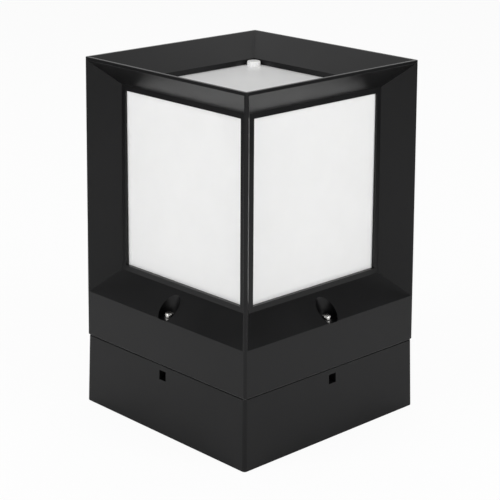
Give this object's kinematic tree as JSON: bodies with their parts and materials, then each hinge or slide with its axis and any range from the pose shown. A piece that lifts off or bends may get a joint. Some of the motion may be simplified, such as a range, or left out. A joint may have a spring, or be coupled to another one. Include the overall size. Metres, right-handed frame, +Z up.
{
  "type": "wall top light",
  "caption": "Square black lantern for a wall top or pillar: flared frame with hopper-shaped rim round a white opal diffuser, on a low base box.",
  "frame": {"origin": "middle of the underside, on the wall's top", "axes": "+Z up, front (left face in the picture) towards -Y, right face in the picture towards +X"},
  "size_m": [0.208, 0.208, 0.315],
  "materials": {
    "body_black": "satin moulded black",
    "opal": "opal white, satin",
    "rubber": "matt black",
    "stainless": "bright",
    "zinc_steel": "zinc plated",
    "ceramic": "glazed white",
    "brass": "bright",
    "terminal_white": "moulded white",
    "wire_brown": "brown insulation",
    "wire_blue": "blue insulation",
    "solder": "dull",
    "insulator_black": "glassy black",
    "cap_metal": "bright",
    "bulb_white": "white",
    "globe_opal": "opal white"
  },
  "bodies": {
    "base": {"mounting_plate": "zinc_steel", "plate_studs": "zinc_steel", "cable_grommet": "rubber", "base_housing": "body_black", "base_gasket": "rubber", "stud_washers": "zinc_steel", "stud_nuts": "zinc_steel", "cover_nuts": "stainless", "terminal_block": "terminal_white", "terminal_screws": "brass", "terminal_block_screw": "zinc_steel", "wire_live": "wire_brown", "wire_neutral": "wire_blue", "lampholder_body": "ceramic", "lampholder_shell": "brass", "lampholder_contact": "brass", "lampholder_terminals": "brass", "lampholder_screws": "zinc_steel"},
    "head": {"lantern_frame": "body_black", "diffuser": "opal", "diffuser_gasket": "rubber", "diffuser_screws": "stainless", "cover_washers": "stainless"},
    "bulb_eyelet": {"bulb_eyelet": "solder"},
    "bulb": {"bulb_insulator": "insulator_black", "bulb_cap": "cap_metal", "bulb_housing": "bulb_white", "bulb_globe": "globe_opal"},
    "cover_seal_right": {"cover_seal_right": "rubber"},
    "cover_screw_right": {"cover_screw_right": "stainless"},
    "cover_seal_back": {"cover_seal_back": "rubber"},
    "cover_screw_back": {"cover_screw_back": "stainless"},
    "cover_seal_left": {"cover_seal_left": "rubber"},
    "cover_screw_left": {"cover_screw_left": "stainless"},
    "cover_seal_front": {"cover_seal_front": "rubber"},
    "cover_screw_front": {"cover_screw_front": "stainless"}
  },
  "joints": [
    {"name": "head_lift", "type": "slide", "parent": "base", "child": "head", "axis": [0, 0, 1], "range_m": [0, 0.15]},
    {"name": "bulb_rise", "type": "slide", "parent": "base", "child": "bulb_eyelet", "axis": [0, 0, 1], "range_m": [0, 0.01825]},
    {"name": "bulb_turn", "type": "hinge", "parent": "bulb_eyelet", "child": "bulb", "pos_m": [0, 0, 0.1], "axis": [0, 0, 1], "range_deg": [0, 1800]},
    {"name": "cover_rise_right", "type": "slide", "parent": "head", "child": "cover_seal_right", "axis": [0, 0, 1], "range_m": [0, 0.0084]},
    {"name": "cover_turn_right", "type": "hinge", "parent": "cover_seal_right", "child": "cover_screw_right", "pos_m": [0.09396, 0, 0.1062], "axis": [0, 0, 1], "range_deg": [0, 4330]},
    {"name": "cover_rise_back", "type": "slide", "parent": "head", "child": "cover_seal_back", "axis": [0, 0, 1], "range_m": [0, 0.0084]},
    {"name": "cover_turn_back", "type": "hinge", "parent": "cover_seal_back", "child": "cover_screw_back", "pos_m": [0, 0.09396, 0.1062], "axis": [0, 0, 1], "range_deg": [0, 4330]},
    {"name": "cover_rise_left", "type": "slide", "parent": "head", "child": "cover_seal_left", "axis": [0, 0, 1], "range_m": [0, 0.0084]},
    {"name": "cover_turn_left", "type": "hinge", "parent": "cover_seal_left", "child": "cover_screw_left", "pos_m": [-0.09396, 0, 0.1062], "axis": [0, 0, 1], "range_deg": [0, 4330]},
    {"name": "cover_rise_front", "type": "slide", "parent": "head", "child": "cover_seal_front", "axis": [0, 0, 1], "range_m": [0, 0.0084]},
    {"name": "cover_turn_front", "type": "hinge", "parent": "cover_seal_front", "child": "cover_screw_front", "pos_m": [0, -0.09396, 0.1062], "axis": [0, 0, 1], "range_deg": [0, 4330]}
  ],
  "couplings": [
    {"joint": "bulb_rise", "follows": "bulb_turn", "m_per_rad": 0.00057773},
    {"joint": "cover_turn_right", "follows": "cover_rise_right", "rad_per_m": 8976},
    {"joint": "cover_turn_back", "follows": "cover_rise_back", "rad_per_m": 8976},
    {"joint": "cover_turn_left", "follows": "cover_rise_left", "rad_per_m": 8976},
    {"joint": "cover_turn_front", "follows": "cover_rise_front", "rad_per_m": 8976}
  ]
}
